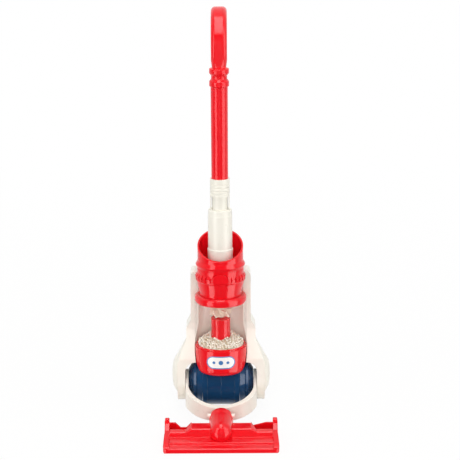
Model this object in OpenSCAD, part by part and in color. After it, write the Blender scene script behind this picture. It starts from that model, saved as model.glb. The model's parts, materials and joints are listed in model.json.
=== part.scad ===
// Toy upright vacuum cleaner with a rolling ball, a clear bead bin and a lift-out wand.
// Millimetres, +Z up, front towards -Y. The origin is on the floor in the middle of the head's sole.

/* [Stance] */
// Lean of the parked body back from upright, in degrees
lean = 10; // [4:0.5:16]
// Gap between pieces that move past each other
run_gap = 0.6; // [0.3:0.1:1]
// Radial clearance of a shaft or trunnion that turns in its bore
shaft_fit = 0.06; // [0.02:0.01:0.1]
// Gap between fixed pieces that slip together
slip = 0.15; // [0.05:0.05:0.3]

/* [Ball] */
// Radius of the ball's middle band
ball_r = 40.8; // [38:0.1:44]
// Height of the running ridges
ridge_h = 1.2; // [0.6:0.1:1.6]
// Overall width of the ball
ball_w = 103; // [98:0.5:110]
// Width of the middle band between the ridges
band_w = 43; // [36:0.5:48]
// Width of a running ridge
ridge_w = 7.5; // [5:0.5:9]
// Radius of the outer rib near each end
rim_r = 35; // [32:0.5:37]
// Distance of the outer rib from the ball's end
rim_in = 12; // [10:0.5:14]
// Width of the outer rib
rim_w = 4; // [2:0.5:6]
// Radius of the ball's flat ends
end_r = 19.5; // [14:0.5:24]
// Wall of the two ball halves
ball_wall = 2.5; // [1.6:0.1:3.5]
// Radius of the steel axle
axle_r = 2.5; // [1.5:0.1:3.5]

/* [Yoke] */
// Thickness of a yoke arm beside the ball
arm_t = 4.5; // [3:0.1:6]
// Radius of the round end of an arm
ear_r = 16.5; // [12:0.5:20]
// Distance from the axle to the front of the yoke
yoke_reach = 87.5; // [80:0.5:94]
// Depth of the curved front
yoke_bow = 40; // [30:1:50]
// Drop of the front wall's top below the axle
yoke_drop = 4.5; // [2:0.5:8]
// Height of the front wall
yoke_h = 24; // [20:0.5:28]
// Thickness of the front wall
yoke_front = 7; // [4:0.5:10]
// Skin left round the hollow under the front wall
yoke_skin = 2.4; // [1.6:0.1:3]

/* [Head] */
// Width of the floor head
head_w = 180; // [160:1:200]
// Depth of the floor head
head_d = 62; // [56:0.5:66]
// Height of the front lip
lip_h = 8; // [6:0.1:9]
// Depth of the front lip
lip_d = 12; // [9:0.5:14]
// Height of the deck behind the lip
deck_h = 12; // [10.5:0.1:14]
// Distance from the front to the brush housing
housing_in = 30; // [27:0.5:32]
// Depth of the housing's raised middle
housing_d = 25.5; // [22:0.5:27]
// Depth of the housing's outer stretches
outer_d = 14; // [11:0.5:20]
// Height of the housing's outer stretches
outer_h = 19.5; // [17:0.1:21]
// Height of the housing's raised middle
mid_h = 24; // [22:0.1:26]
// Width of the raised middle
mid_w = 93; // [70:1:110]
// Length of the slope from the raised middle to the outer stretches
slope_w = 8; // [4:0.5:12]
// Thickness of the end plates
plate_t = 9.4; // [7:0.1:11]
// Height of the rear posts
post_h = 30; // [26:0.1:34]
// Thickness of the rear rail
rail_t = 2.6; // [1.6:0.1:4]
// Height of the rear rail beside the posts
rail_h = 20.5; // [16:0.1:22]
// Wall of the head
head_wall = 3; // [1.6:0.1:4]
// Thickness of the sole plate
sole_t = 3.5; // [2:0.1:4]

/* [Neck] */
// Radius of the neck hood
neck_r = 19; // [16:0.1:21]
// Distance of the tilt hinge behind the middle of the sole
hinge_y = 35; // [33:0.1:36]
// Height of the tilt hinge
hinge_z = 29.5; // [28:0.1:31]
// Distance from the tilt hinge back to the yoke's front wall
hinge_back = 9; // [8:0.5:12]
// Radius of the hinge trunnion
trunnion_r = 3.8; // [3:0.1:4.2]
// Overall width of the trunnion
trunnion_w = 42.5; // [40:0.1:44]
// Width of the yoke's tongue inside the neck
tongue_w = 18; // [12:0.5:22]

/* [Body] */
// Half width of the back body
spine_w = 48; // [46:0.5:52]
// Radius of a cheek round the axle where it leaves the spine
cheek_r = 68; // [62:0.5:72]
// Radius of a cheek at its outer face
cheek_rim = 43; // [42:0.5:46]
// Height of the back body's top above the axle
spine_top = 179; // [174:0.5:184]
// Front face of the back body behind the axle
spine_front = 8; // [4:0.5:12]
// Rear face of the back body behind the axle
spine_rear = 50; // [48:0.5:56]
// Plane where the front and rear halves meet
parting = 31; // [30.5:0.1:33]
// Thickness of a leg beside the yoke
leg_t = 12.4; // [10:0.1:14]
// Radius of the leg's round foot
foot_r = 32.5; // [31:0.5:35]
// Wall of the rear half
shell_wall = 2.4; // [1.8:0.1:3]
// Radius of a side cover
cover_r = 30.5; // [28:0.5:32]
// Height of a side cover's dome
cover_h = 8.7; // [8:0.1:11]
// Height of a side cover's centre above the axle
cover_up = 11.5; // [8:0.5:13]

/* [Bin] */
// Distance of the bin's axis in front of the axle
bin_fwd = 14; // [12:0.5:16]
// Radius of the clear cylinder
bin_r = 41.2; // [40:0.1:42]
// Wall of the clear cylinder
clear_wall = 2; // [1.2:0.1:2.6]
// Height of the bin's rounded bottom above the axle
bin_bottom = 20.5; // [18:0.5:24]
// Height of the red base's rim above the axle
base_rim = 62.5; // [58:0.5:68]
// Radius of the base's foot
base_foot_r = 39.8; // [38:0.1:40.5]
// Rounding of the base's bottom edge
base_round = 9; // [5:0.5:10]
// Wall of the base
base_wall = 2.2; // [1.6:0.1:3]
// Height of the lid's lower edge above the axle
lid_low = 138; // [130:0.5:140]
// Height of the lid's flat top above the axle
lid_top = 148; // [146:0.5:152]
// Rounding of the lid's edge
lid_round = 5.5; // [3:0.5:7]
// Radius of the motor tower
tower_r = 15.2; // [13:0.1:17]
// Height of the tower's top above the axle
tower_top = 107.5; // [100:0.5:110]
// Radius of the whirl fan
fan_r = 18; // [16.5:0.1:20]
// Blades on the whirl fan
fan_blades = 5; // [4:1:7]
// Radius of the motor
motor_r = 10.2; // [8:0.1:11]
// Radius of a bead on top of the heap
bead_r = 2.3; // [1.6:0.1:2.6]
// Beads that show on top of the heap
bead_count = 46; // [20:1:60]

/* [Funnel and cup] */
// Height of the fluted ring's lip above the axle
lip_u = 172.5; // [168:0.5:175]
// Radius of the fluted ring's lip
ring_r = 40; // [39.2:0.1:40.6]
// Radius of the funnel's waist
waist_r = 37.2; // [36:0.1:38]
// Radius of the funnel where it meets the lid
funnel_r = 33.5; // [31:0.1:35]
// Flutes round the ring
flutes = 30; // [24:1:36]
// Height of the flutes
flute_h = 9.5; // [7:0.5:11]
// Height of the seam between funnel and cup above the axle
cup_low = 191; // [188:0.5:193]
// Outer radius of the wand cup
cup_r = 35.9; // [34:0.1:36.5]
// Wall of the funnel and the cup
cup_wall = 2.4; // [1.6:0.1:3]
// Height of the cup's rim at the front, above the axle
cup_front = 208; // [206:0.5:214]
// Height of the cup's rim at the back, above the axle
cup_back = 245; // [230:0.5:250]
// Width of the push button
button_w = 26; // [18:0.5:30]
// Height of the push button
button_h = 14; // [11:0.5:15]
// Travel of the push button
button_travel = 2; // [1:0.1:2.4]

/* [Wand and handle] */
// Radius of the wand tube
tube_r = 19.1; // [17.5:0.1:20]
// Radius of the wand's lower collar
collar_r = 20.2; // [19.6:0.1:22]
// Height of the lower collar's top above the axle
collar_top = 222; // [214:0.5:230]
// Height of the wand tube's top above the axle
tube_top = 285.5; // [270:0.5:300]
// Radius of the connector's neck
link_r = 12.1; // [11:0.1:12.6]
// Radius of the ribbed collar
ribbed_r = 15.5; // [15.2:0.1:17]
// Height of the ribbed collar's lower edge above the axle
ribbed_low = 306.5; // [302:0.5:312]
// Height of the ribbed collar's top above the axle
ribbed_top = 335; // [332:0.5:340]
// Ribs round the collar
rib_count = 4; // [2:1:5]
// Spacing of the ribs
rib_step = 5.2; // [4:0.1:5.4]
// Radius of the handle pipe at its lower end
pipe_r = 13.1; // [12.6:0.1:13.6]
// Radius of the handle pipe at its upper end
pipe_top_r = 13.4; // [12.8:0.1:14]
// Wall of the pipes
pipe_wall = 1.8; // [1.2:0.1:2.4]
// Radius of the two bead collars
bead_collar_r = 15.4; // [14.6:0.1:17]
// Height of a bead collar
bead_collar_h = 12; // [9:0.5:13]
// Height of the seam between pipe and grip above the axle
grip_low = 494.6; // [470:0.5:520]
// Width of the grip
grip_w = 25; // [22:0.5:28]
// Depth of the grip
grip_d = 22; // [19:0.5:25]
// Wall of the grip at its bore
grip_wall = 2; // [1.6:0.1:4]
// Rounding of the grip's long edges
grip_round = 7; // [5:0.5:9]
// Height where the grip starts to bend, above the axle
bend_start = 541; // [535:0.5:555]
// Radius of the grip's bend at the middle of the section
bend_r = 45; // [35:1:60]
// Angle of the grip's bend, in degrees
bend_angle = 100; // [80:1:120]
// Straight tail of the hook
tail = 24; // [12:1:36]

/* [Batteries and screws] */
// Diameter of a cell
cell_d = 14.4; // [10.4:0.1:14.4]
// Length of a cell
cell_l = 50.2; // [44:0.1:51]
// Height of the battery bay's middle above the axle
bay_mid = 120; // [110:1:130]
// Radius of a screw's shank
screw_r = 1.5; // [1.2:0.1:1.8]
// Radius of a screw's head
screw_head = 2.9; // [2.4:0.1:3.2]

/* [Hidden] */

$fn = 96;
eps = 0.01;

// Colours as the toy shows them
red = "#e3101d";
ivory = "#f1ecdd";
navy = "#1d3f66";
clear = [0.9, 0.88, 0.86, 0.35];
cream = "#efe6cf";
steel = "#b9bcc0";

// Heights and half widths that several pieces share
ridge_r = ball_r + ridge_h;
axle_z = ridge_r;
ball_end = ball_w / 2;
arm_in = ball_end + run_gap;
arm_out = arm_in + arm_t;
leg_in = arm_out + run_gap;
leg_out = leg_in + leg_t;
cap_t = 4;
axle_half = leg_out + run_gap + cap_t;
saddle_r = ridge_r + 2 * run_gap;
cup_floor = cup_low + cup_wall;
wand_low = cup_floor + 2 * slip;
front_y = -head_d / 2;
rear_y = head_d / 2;
housing_y = front_y + housing_in;
plate_in = head_w / 2 - plate_t;
wall_y = hinge_y + hinge_back;
axle_back = wall_y + yoke_reach;
cheek_in = spine_w + 7.5;

// Places

module at_axle() {
    translate([0, axle_back, axle_z]) children();
}

module at_body() {
    at_axle() rotate([-lean, 0, 0]) children();
}

module at_bin() {
    at_body() translate([0, -bin_fwd, 0]) children();
}

module both_sides() {
    children();
    mirror([1, 0, 0]) children();
}

// Shape helpers

// Extrudes an outline drawn in (y, z) along X, centred
module along_x(width) {
    rotate([90, 0, 90]) linear_extrude(width, center = true) children();
}

// Extrudes an outline drawn in (x, z) from y0 to y1
module along_y(y0, y1) {
    translate([0, y1, 0]) rotate([90, 0, 0]) linear_extrude(y1 - y0) children();
}

// A round bar along X
module bar_x(r, length) {
    rotate([0, 90, 0]) cylinder(r = r, h = length, center = true);
}

// A solid turned about Z from an outline of [radius, height] points
module turned(points) {
    rotate_extrude() polygon(points);
}

function unit(v) = v / norm(v);
function flat(p) = [p[0], p[1]];

// Points of one corner, rounded by the radius
function corner(a, b, c, r, steps) =
    r <= 0 ? [b] :
    let (u = unit(a - b), w = unit(c - b), half = acos(u * w) / 2,
         m = b + unit(u + w) * r / sin(half),
         p = b + u * r / tan(half) - m, q = b + w * r / tan(half) - m,
         start = atan2(p[1], p[0]), swing = atan2(q[1], q[0]) - start,
         turn = swing > 180 ? swing - 360 : swing < -180 ? swing + 360 : swing)
    [for (i = [0:steps]) m + r * [cos(start + turn * i / steps), sin(start + turn * i / steps)]];

// An outline from [x, y, corner radius] points
function rounded(points, steps = 6) =
    let (count = len(points))
    [for (i = [0:count - 1])
        each corner(flat(points[(i + count - 1) % count]), flat(points[i]), flat(points[(i + 1) % count]),
                    points[i][2], steps)];

// Where a line from a point touches a circle about the origin
function touch(p, r, side) =
    let (a = atan2(p[1], p[0]) + side * acos(r / norm(p))) r * [cos(a), sin(a)];

// Yoke

module yoke_outline(front, half) {
    arc_r = (arm_out * arm_out + yoke_bow * yoke_bow) / (2 * yoke_bow);
    arc_y = arc_r - yoke_reach;
    join_y = arc_y - sqrt(pow(arc_r - front, 2) - half * half);
    intersection() {
        translate([0, arc_y]) circle(arc_r - front);
        translate([-half, -yoke_reach]) square([2 * half, yoke_reach + join_y]);
    }
    translate([-half, join_y - eps]) square([2 * half, ear_r + eps - join_y]);
}

module yoke_side() {
    top = [-yoke_reach, -yoke_drop];
    low = [-yoke_reach, -yoke_drop - yoke_h];
    circle(ear_r);
    polygon([low, top, touch(top, ear_r, -1), [0, 0], touch(low, ear_r, 1)]);
}

module yoke_tongue() {
    tongue_r = trunnion_r + 3.6;
    translate([0, hinge_y - axle_back, hinge_z - axle_z]) {
        bar_x(trunnion_r, trunnion_w);
        bar_x(tongue_r, tongue_w);
        translate([-tongue_w / 2, 0, -tongue_r])
            cube([tongue_w, wall_y - hinge_y + yoke_skin, 2 * tongue_r]);
    }
}

module u_yoke() {
    ring_h = 4 * (ear_r + yoke_h);
    color(ivory) at_axle() {
        difference() {
            intersection() {
                translate([0, 0, -ring_h / 2]) linear_extrude(ring_h) difference() {
                    yoke_outline(0, arm_out);
                    yoke_outline(yoke_front, arm_in);
                }
                along_x(2 * arm_out) yoke_side();
            }
            // hollow under the front wall
            intersection() {
                translate([0, 0, -ring_h / 2]) linear_extrude(ring_h) difference() {
                    translate([-arm_in, -yoke_reach]) square([2 * arm_in, yoke_bow]);
                    difference() {
                        translate([-arm_out, -yoke_reach]) square([2 * arm_out, yoke_bow]);
                        yoke_outline(yoke_skin, arm_out - yoke_skin);
                    }
                    yoke_outline(yoke_front - yoke_skin, arm_in - yoke_skin);
                }
                translate([0, 0, -yoke_skin]) along_x(2 * arm_out) yoke_side();
            }
            bar_x(axle_r + slip / 3, 3 * ball_w);
        }
        yoke_tongue();
    }
}

module axle() {
    color(steel) at_axle() bar_x(axle_r, 2 * axle_half);
}

module axle_caps() {
    color(steel) at_axle() both_sides()
        translate([axle_half - cap_t / 2, 0, 0]) difference() {
            bar_x(2 * axle_r, cap_t);
            bar_x(axle_r + slip / 3, 2 * cap_t);
        }
}

// Ball

module ball_half() {
    bore = axle_r + shaft_fit;
    boss = axle_r + 3.5;
    band = band_w / 2;
    ridge_end = band + ridge_w;
    rim_x = ball_end - rim_in;
    seam = 0.4;
    color(navy) at_axle() rotate([0, 90, 0]) turned([
        [bore, 0], [boss, 0], [boss, ball_end - ball_wall],
        [end_r - ball_wall, ball_end - ball_wall], [rim_r - 2 * ball_wall, rim_x],
        [ridge_r - 2 * ball_wall, ridge_end], [ball_r - ball_wall, band], [ball_r - ball_wall, 0],
        [ball_r - seam, 0], [ball_r, seam], [ball_r, band], [ridge_r, band + seam], [ridge_r, ridge_end],
        [ridge_r - 2 * ridge_h, ridge_end + ridge_h], [rim_r - ridge_h, rim_x - seam], [rim_r, rim_x],
        [rim_r - rim_w / 3, rim_x + rim_w], [rim_r - rim_w / 3 - ridge_h, rim_x + rim_w + seam],
        [end_r, ball_end - seam], [end_r - seam, ball_end], [bore, ball_end]]);
}

module ball_right() {
    ball_half();
}

module ball_left() {
    mirror([1, 0, 0]) ball_half();
}

// Head

function deck_outline() = rounded([
    [front_y, 0, 2], [front_y, lip_h, 3], [front_y + lip_d, lip_h + 0.8, 1],
    [front_y + lip_d + 1.2, deck_h, 2], [housing_y + outer_d / 2, deck_h, 0],
    [housing_y + outer_d / 2, 0, 0]]);

// Housing with a sloped front and a rounded top edge
function housing_outline(top, depth) = rounded([
    [housing_y, 0, 0], [housing_y, deck_h, 0], [housing_y + 0.4 * (top - deck_h), top, 4.5],
    [housing_y + depth, top - 0.6, 2], [housing_y + depth, 0, 0]]);

// Side view of an end plate, low at the front and rising to the rear post
function plate_outline() = rounded([
    [front_y, 0, 2], [front_y, lip_h + 1, 4], [front_y + lip_d, deck_h + 1, 4],
    [housing_y + 12, outer_h - 2, 8], [rear_y - 10, post_h - 6, 4], [rear_y - 7.5, post_h, 3],
    [rear_y, post_h, 3], [rear_y, 0, 1.5]]);

// Plan of an end plate, which flares a little towards the front
function plate_plan() = rounded([
    [plate_in, front_y, 0], [head_w / 2, front_y, 6], [head_w / 2, front_y + 16, 20],
    [head_w / 2 - 1.8, housing_y + 6, 20], [head_w / 2 - 1.8, rear_y, 1.5], [plate_in, rear_y, 0]]);

// Front view of an end plate, round along its top
function plate_front() = rounded([
    [plate_in, 0, 0], [head_w / 2, 0, 3], [head_w / 2, lip_h + 2, 6], [head_w / 2 - 1.8, 2 * lip_h + 2, 6],
    [head_w / 2 - 1.8, post_h, 0.4 * plate_t], [plate_in, post_h, 0.35 * plate_t]]);

module end_plate() {
    intersection() {
        linear_extrude(post_h + 1) polygon(plate_plan());
        along_x(2 * head_w) polygon(plate_outline());
        along_y(front_y - 1, rear_y + 1) polygon(plate_front());
    }
}

// The rear rail's two ends are cut to different slopes
function rail_left() = [
    [-plate_in - eps, 0], [-plate_in - eps, rail_h], [-mid_w / 2 - 25, rail_h], [-mid_w / 2 - 17, deck_h],
    [-mid_w / 2 - slope_w, deck_h], [-mid_w / 2 + eps, mid_h - 3], [-mid_w / 2 + eps, 0]];

function rail_right() = [
    [mid_w / 2 - eps, 0], [mid_w / 2 - eps, mid_h - 3], [mid_w / 2 + 4, deck_h + 3],
    [plate_in - 10, rail_h], [plate_in + eps, rail_h], [plate_in + eps, 0]];

module raised_slope() {
    hull() {
        translate([mid_w / 2 - eps, 0, 0]) along_x(eps) polygon(housing_outline(mid_h, housing_d));
        translate([mid_w / 2 + slope_w, 0, 0]) along_x(eps) polygon(housing_outline(outer_h, outer_d));
    }
}

// Outer form of the head, without its hollow
module head_form() {
    along_x(2 * plate_in + eps) polygon(deck_outline());
    along_x(2 * plate_in + eps) polygon(housing_outline(outer_h, outer_d));
    along_x(mid_w) polygon(housing_outline(mid_h, housing_d));
    both_sides() raised_slope();
    both_sides() end_plate();
    along_y(rear_y - rail_t, rear_y) {
        polygon(rail_left());
        polygon(rail_right());
    }
    translate([-plate_in - eps, housing_y, 0])
        cube([2 * plate_in + 2 * eps, rear_y - housing_y, lip_h]);
}

// The hollow under the head, down through the open sole
module head_hollow(gap) {
    half = plate_in - gap;
    end_y = rear_y - rail_t - gap;
    steps = [[front_y + head_wall, end_y, lip_h - head_wall],
        [front_y + lip_d + 2 * head_wall, housing_y + outer_d - head_wall, deck_h - head_wall],
        [housing_y + 2 * head_wall, housing_y + outer_d - head_wall, outer_h - 2 * head_wall]];
    for (s = steps)
        translate([-half, s[0] + gap, -eps])
            cube([2 * half, s[1] - s[0] - gap, s[2] + eps]);
}

// Sets $roof to the height of the head above each screw
module at_sole_screws() {
    for (x = [-0.75, 0.75], row = [[front_y + lip_d + 10, deck_h], [rear_y - 9, lip_h]])
        translate([x * plate_in, row[0], 0]) {
            $roof = row[1];
            children();
        }
}

module head_shell() {
    color(red) difference() {
        union() {
            difference() {
                head_form();
                head_hollow(0);
            }
            at_sole_screws() translate([0, 0, sole_t]) cylinder(r = 2 * screw_r + 0.5, h = $roof - sole_t - 1);
        }
        at_sole_screws() translate([0, 0, sole_t - eps]) cylinder(r = screw_r + slip / 3, h = 5.5);
    }
}

module sole_plate() {
    groove_w = 6;
    color(red) difference() {
        intersection() {
            head_hollow(slip);
            translate([-head_w, -head_d, 0]) cube([2 * head_w, 2 * head_d, sole_t]);
        }
        // blind groove across the front, where a real head has its mouth
        translate([-0.8 * plate_in, front_y + lip_d / 2, -eps]) cube([1.6 * plate_in, groove_w, sole_t / 2]);
        at_sole_screws() {
            translate([0, 0, -eps]) cylinder(r = screw_r + slip / 3, h = sole_t + 2 * eps);
            translate([0, 0, -eps]) cylinder(r = screw_head + slip, h = sole_t / 2);
        }
    }
}

module sole_screws() {
    color(steel) at_sole_screws() {
        translate([0, 0, 0.3]) cylinder(r = screw_head, h = sole_t / 2 - 0.3 - eps);
        translate([0, 0, 0.3]) cylinder(r = screw_r, h = 7);
    }
}

// Neck

// Round bar with ball ends of two radii, between two points [y, z] of the middle plane
module capsule(from, to, r_from, r_to) {
    run = to - from;
    long = norm(run);
    lean_in = asin((r_from - r_to) / long);
    steps = 9;
    translate([0, from[0], from[1]]) rotate([-atan2(run[0], run[1]), 0, 0]) rotate_extrude()
        polygon(concat([[0, -r_from]],
            [for (i = [1:steps]) let (t = -90 + i * (lean_in + 90) / steps) r_from * [cos(t), sin(t)]],
            [for (i = [0:steps - 1]) let (t = lean_in + i * (90 - lean_in) / steps) [0, long] + r_to * [cos(t), sin(t)]],
            [[0, long + r_to]]));
}

module neck_form() {
    nose_r = 12;
    capsule([hinge_y - 1, hinge_z - 6], [housing_y + 9, deck_h], neck_r, neck_r - 0.5);
    capsule([housing_y + 11, deck_h + 4.5], [housing_y - 4.5, deck_h - 3], neck_r - 4.5, nose_r);
}

module neck_hood() {
    socket_r = trunnion_r + 3.6 + run_gap;
    back_y = wall_y - 3.6;
    slot_up = 12;
    slot_down = 20;
    color(red) difference() {
        neck_form();
        head_form();
        // flat rear, sloped away below the hinge so that the head can tilt
        along_x(4 * neck_r) polygon([
            [back_y, 3 * neck_r], [back_y, hinge_z - 2], [hinge_y - 4, 2], [hinge_y - 4, -neck_r],
            [3 * neck_r, -neck_r], [3 * neck_r, 3 * neck_r]]);
        translate([-2 * neck_r, -neck_r, -2 * neck_r]) cube([4 * neck_r, 4 * neck_r, 2 * neck_r + 2]);
        // slot for the yoke's tongue, open to the rear over the whole tilt
        translate([0, hinge_y, hinge_z]) {
            along_x(tongue_w + 2 * run_gap) polygon(concat(
                [for (i = [0:20]) let (t = 90 + slot_up + i * (180 - slot_up - slot_down) / 20) socket_r * [cos(t), sin(t)]],
                [for (t = [-slot_down, slot_up]) 2 * neck_r * [cos(t), sin(t)]
                    + socket_r * (t < 0 ? [-sin(slot_down), -cos(slot_down)] : [-sin(slot_up), cos(slot_up)])]));
            bar_x(trunnion_r + shaft_fit, 3 * neck_r);
        }
    }
}

// Body

// Front view of the back body: spine, shoulders, arch and legs
module body_front_view() {
    half = rounded([[0, spine_top, 0], [spine_w, spine_top, 9.5], [spine_w, 97, 10], [cheek_in + 0.8, 83, 10],
        [leg_out, cheek_r - 2, 4], [leg_out, -foot_r, 5], [leg_in, -foot_r, 0],
        [leg_in, saddle_r - 8, 15], [ball_end - 14, saddle_r - 7, 3], [band_w / 2 + ridge_w + 1, saddle_r + 1.5, 3],
        [0, saddle_r + 1.5, 0]]);
    polygon(concat(half, [for (i = [len(half) - 2:-1:1]) [-half[i][0], half[i][1]]]));
}

// Side view of the back body above its round foot
module body_side_view() {
    polygon(rounded([
        [-0.94 * foot_r, 0.34 * foot_r, 0], [-0.76 * foot_r, 1.24 * foot_r, 12], [spine_front, 88, 24],
        [spine_front, spine_top, 5],
        [spine_rear, spine_top, 12], [spine_rear, 62, 16], [0.94 * foot_r, -0.34 * foot_r, 0]]));
}

// What is cut away round the cheeks, which are cones about the axle
module cheek_cut(wall) {
    slope = (cheek_r - cheek_rim) / (leg_out - cheek_in);
    over = wall + 1;
    both_sides() difference() {
        translate([cheek_in - wall, -4 * foot_r, -4 * foot_r]) cube([4 * leg_out, 8 * foot_r, 8 * foot_r + spine_top]);
        rotate([0, 90, 0]) translate([0, 0, cheek_in - over])
            cylinder(r1 = cheek_r + slope * over - 2 * wall, r2 = cheek_rim - slope - 2 * wall,
                h = leg_out + 1 - cheek_in + over);
    }
}

module body_form() {
    difference() {
        intersection() {
            along_y(-2 * foot_r, 2 * spine_rear) body_front_view();
            union() {
                bar_x(foot_r, 3 * leg_out);
                along_x(3 * leg_out) body_side_view();
            }
        }
        cheek_cut(0);
    }
}

recess_r = max(bin_r, ring_r) + run_gap;

module bin_recess() {
    translate([0, -bin_fwd, bin_bottom - 10]) cylinder(r = recess_r, h = 2 * spine_top);
}

module at_body_screws() {
    for (x = [-1, 1], u = [74, spine_top - 16])
        translate([x * (spine_w - 8), parting, u]) children();
}

// Space of the battery bay, open to the rear
module battery_bay(wall) {
    half = cell_d + 1 + wall;
    long = cell_l / 2 + 1.2 + wall;
    translate([-half, spine_rear - cell_d - 4 - wall, bay_mid - long])
        cube([2 * half, cell_d + 4 + wall + 1, 2 * long]);
}

// Inside of the two body halves: the outer form less a wall, round the bin, the axle and the battery bay
module body_hollow() {
    difference() {
        intersection() {
            along_y(-2 * foot_r, 2 * spine_rear) offset(delta = -shell_wall) body_front_view();
            union() {
                bar_x(foot_r - shell_wall, 3 * leg_out);
                along_x(3 * leg_out) offset(delta = -shell_wall) body_side_view();
            }
        }
        translate([0, -bin_fwd, bin_bottom - 10 - shell_wall]) cylinder(r = recess_r + shell_wall, h = 2 * spine_top);
        both_sides() translate([leg_in, 0, 0]) bar_x(axle_r + 3.5, 4 * leg_t);
        battery_bay(shell_wall);
        cheek_cut(shell_wall);
        at_body_screws() {
            rotate([90, 0, 0]) cylinder(r = screw_r + 2.2, h = 2 * spine_rear);
            rotate([-90, 0, 0]) cylinder(r = screw_head + slip + 1.6, h = spine_rear);
        }
    }
}

module front_body() {
    color(ivory) at_body() difference() {
        intersection() {
            body_form();
            translate([-2 * leg_out, -2 * foot_r, -2 * foot_r])
                cube([4 * leg_out, 2 * foot_r + parting, spine_top + 4 * foot_r]);
        }
        bin_recess();
        body_hollow();
        bar_x(axle_r + shaft_fit, 4 * leg_out);
        at_body_screws() rotate([90, 0, 0]) translate([0, 0, -eps]) cylinder(r = screw_r + slip / 3, h = 8);
    }
}

module rear_body() {
    color(ivory) at_body() difference() {
        intersection() {
            body_form();
            translate([-2 * leg_out, parting, -2 * foot_r])
                cube([4 * leg_out, spine_rear, spine_top + 4 * foot_r]);
        }
        body_hollow();
        battery_bay(0);
        // step that the battery cover sits in
        translate([0, 0, bay_mid]) along_y(spine_rear - 2, spine_rear + 1) cover_outline(slip);
        at_body_screws() rotate([-90, 0, 0]) {
            translate([0, 0, -eps]) cylinder(r = screw_r + slip / 3, h = spine_rear);
            translate([0, 0, 6]) cylinder(r = screw_head + slip, h = spine_rear);
        }
        cover_screw_hole(screw_r + slip / 3, 9);
    }
}

module cover_outline(gap) {
    half_w = cell_d + 4;
    half_l = cell_l / 2 + 9;
    polygon(rounded([[-half_w - gap, -half_l - gap, 4], [half_w + gap, -half_l - gap, 4],
        [half_w + gap, half_l + gap, 4], [-half_w - gap, half_l + gap, 4]]));
}

module cover_screw_hole(r, depth) {
    translate([0, spine_rear, bay_mid - cell_l / 2 - 5.4]) rotate([90, 0, 0])
        translate([0, 0, -1]) cylinder(r = r, h = depth);
}

module battery_cover() {
    color(ivory) at_body() difference() {
        translate([0, 0, bay_mid]) along_y(spine_rear - 2, spine_rear) cover_outline(0);
        cover_screw_hole(screw_r + slip / 3, 9);
        cover_screw_hole(screw_head + slip, 2);
    }
}

module cover_screw() {
    color(steel) at_body() translate([0, spine_rear, bay_mid - cell_l / 2 - 5.4]) rotate([90, 0, 0]) {
        translate([0, 0, 0.2]) cylinder(r = screw_head, h = 0.8 - eps);
        translate([0, 0, 0.2]) cylinder(r = screw_r, h = 6.5);
    }
}

module battery_cells() {
    nub_r = 2.7;
    nub_h = 1;
    color("#3d4a3f") at_body() for (x = [-1, 1])
        translate([x * (cell_d / 2 + 0.4), spine_rear - 2.6 - cell_d / 2, bay_mid - cell_l / 2]) {
            cylinder(d = cell_d, h = cell_l - nub_h);
            cylinder(r = nub_r, h = cell_l);
        }
}

module battery_contacts() {
    plate = 0.8;
    color(steel) at_body() for (x = [-1, 1], s = [-1, 1])
        translate([x * (cell_d / 2 + 0.4) - 5, spine_rear - 2.6 - cell_d / 2 - 5,
                   bay_mid + s * (cell_l / 2 + 0.6) - plate / 2])
            cube([10, 10, plate]);
}

module body_screws() {
    color(steel) at_body() at_body_screws() rotate([-90, 0, 0]) {
        translate([0, 0, 6 + eps]) cylinder(r = screw_head, h = 2);
        translate([0, 0, -6.5]) cylinder(r = screw_r, h = 13);
    }
}

module side_cover() {
    step = 0.7;
    color(ivory) at_body() translate([leg_out, 0, cover_up]) rotate([0, 90, 0]) difference() {
        turned([[0, 0], [cover_r, 0], [cover_r, 0.12 * cover_h], [0.96 * cover_r, 0.2 * cover_h],
            [0.96 * cover_r - step, 0.2 * cover_h], [0.86 * cover_r, 0.45 * cover_h],
            [0.86 * cover_r - step, 0.45 * cover_h], [0.67 * cover_r, 0.78 * cover_h],
            [0.45 * cover_r, 0.93 * cover_h], [0.24 * cover_r, cover_h], [0, cover_h]]);
        translate([cover_up, 0, -eps]) cylinder(r = 2 * axle_r + run_gap, h = cap_t + 2 * run_gap);
    }
}

module side_cover_right() {
    side_cover();
}

module side_cover_left() {
    mirror([1, 0, 0]) side_cover();
}

// Bin

module bin_base() {
    color(red) at_bin() difference() {
        union() {
            turned(rounded([[0, bin_bottom, 0], [base_foot_r, bin_bottom, base_round], [bin_r, base_rim, 0],
                [0, base_rim, 0]]));
            translate([0, 0, base_rim - eps])
                cylinder(r = bin_r - clear_wall - slip, h = 3 + eps);
        }
        difference() {
            turned(rounded([[0, bin_bottom + base_wall, 0],
                [base_foot_r - base_wall, bin_bottom + base_wall, base_round - base_wall],
                [bin_r - 2 * base_wall, base_rim - base_wall, 0], [bin_r - 2 * base_wall, base_rim + 7, 0],
                [0, base_rim + 7, 0]]));
            translate([0, bin_fwd, 0]) bar_x(saddle_r + base_wall, 4 * bin_r);
        }
        translate([0, bin_fwd, 0]) bar_x(saddle_r, 4 * bin_r);
    }
}

module bin_clear() {
    color(clear) at_bin() translate([0, 0, base_rim]) difference() {
        cylinder(r = bin_r, h = lid_low - base_rim);
        translate([0, 0, -eps]) cylinder(r = bin_r - clear_wall, h = lid_low);
    }
}

module bin_lid() {
    plug = bin_r - clear_wall - slip;
    color(red) at_bin() turned(rounded([
        [0, lid_top - 3, 0], [plug - 2.4, lid_top - 3, 3], [plug - 2.4, lid_low - 3, 0], [plug, lid_low - 3, 0],
        [plug, lid_low, 0], [bin_r, lid_low, 0.6], [bin_r, lid_top, lid_round], [0, lid_top, 0]]));
}

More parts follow.
